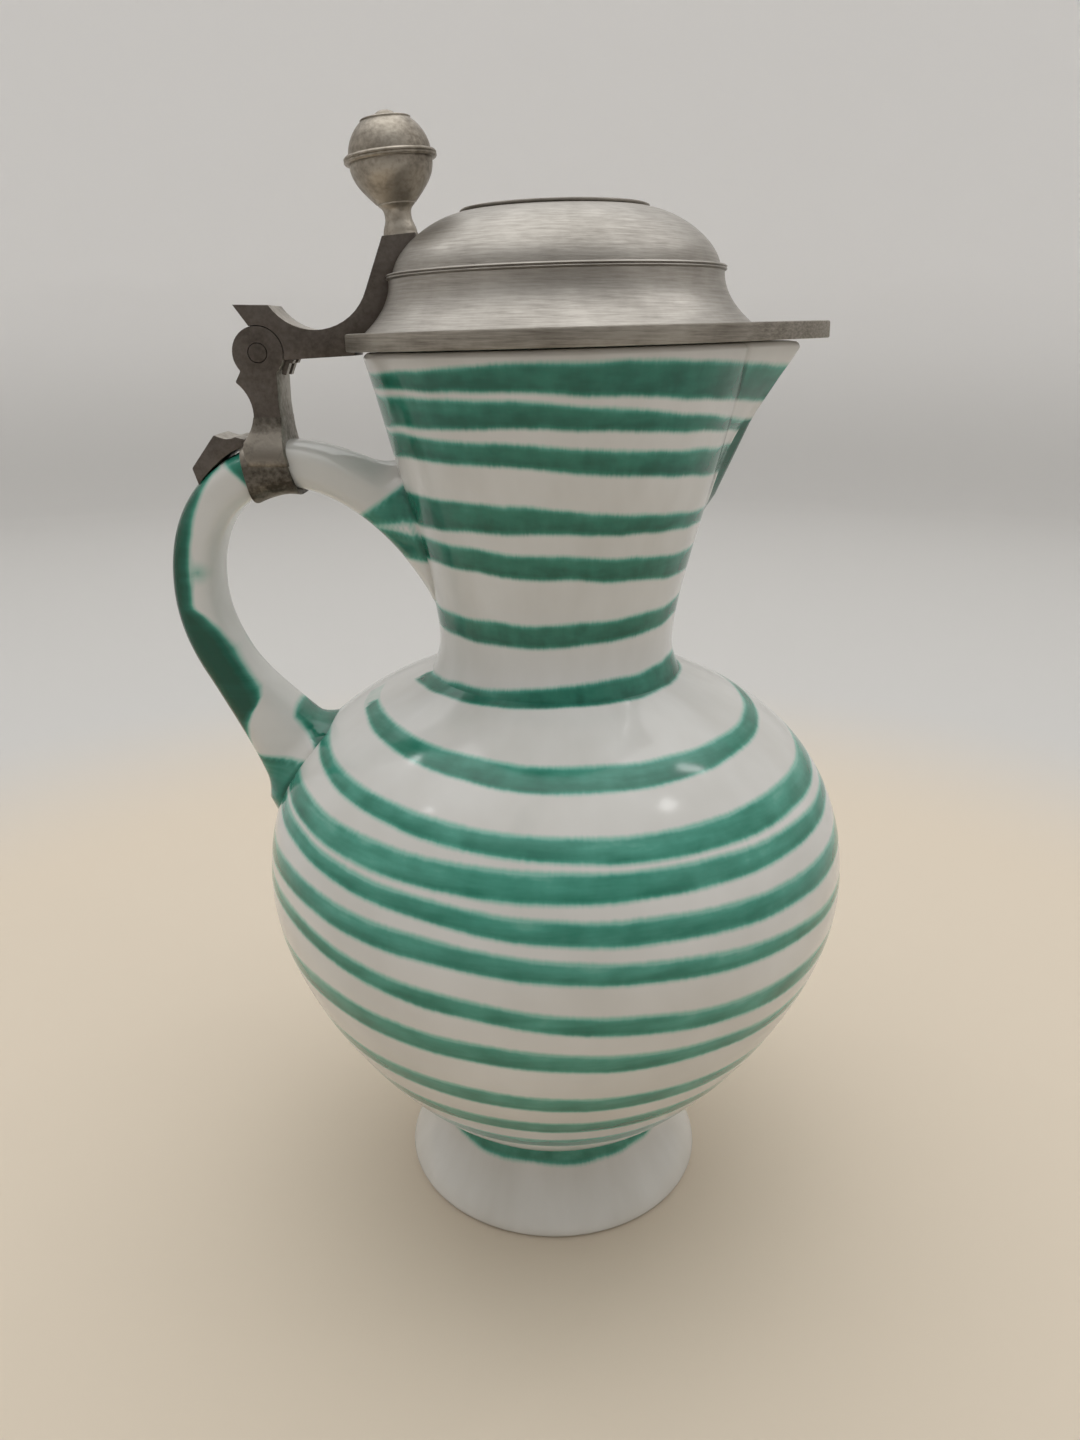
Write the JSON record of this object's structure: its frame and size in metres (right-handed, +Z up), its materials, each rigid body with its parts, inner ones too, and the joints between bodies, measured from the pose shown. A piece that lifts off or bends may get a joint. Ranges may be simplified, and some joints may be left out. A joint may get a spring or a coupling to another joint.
{
  "type": "lidded jug",
  "caption": "Glazed ceramic jug with a round belly, pouring lip and strap handle, closed by a domed pewter lid that a thumb ball tips back on a leaf hinge above the handle.",
  "frame": {"origin": "middle of the foot, on the surface that the jug stands on", "axes": "+Z up along the pot's axis, +X towards the spout, -X towards the handle and the lid's hinge"},
  "size_m": [0.1793, 0.159, 0.2891],
  "materials": {
    "glaze": "gloss",
    "pewter": "brushed",
    "dark_pewter": "satin"
  },
  "bodies": {
    "jug": {"jug_body": "glaze", "foot_ring": "glaze", "pouring_lip": "glaze", "jug_handle": "glaze", "handle_band": "dark_pewter", "handle_tongue": "dark_pewter", "hinge_post": "dark_pewter", "hinge_pin": "dark_pewter"},
    "lid": {"lid_arm": "dark_pewter", "lid_flange": "pewter", "lid_dome": "pewter", "lid_disc": "pewter", "thumb_stem": "pewter", "thumb_ball_lower": "pewter", "thumb_ball_upper": "pewter", "thumb_button": "pewter"}
  },
  "joints": [
    {"name": "lid_hinge", "type": "hinge", "parent": "jug", "child": "lid", "pos_m": [-0.07229, 0, 0.23588], "axis": [0, -1, 0], "range_deg": [0, 115]}
  ]
}
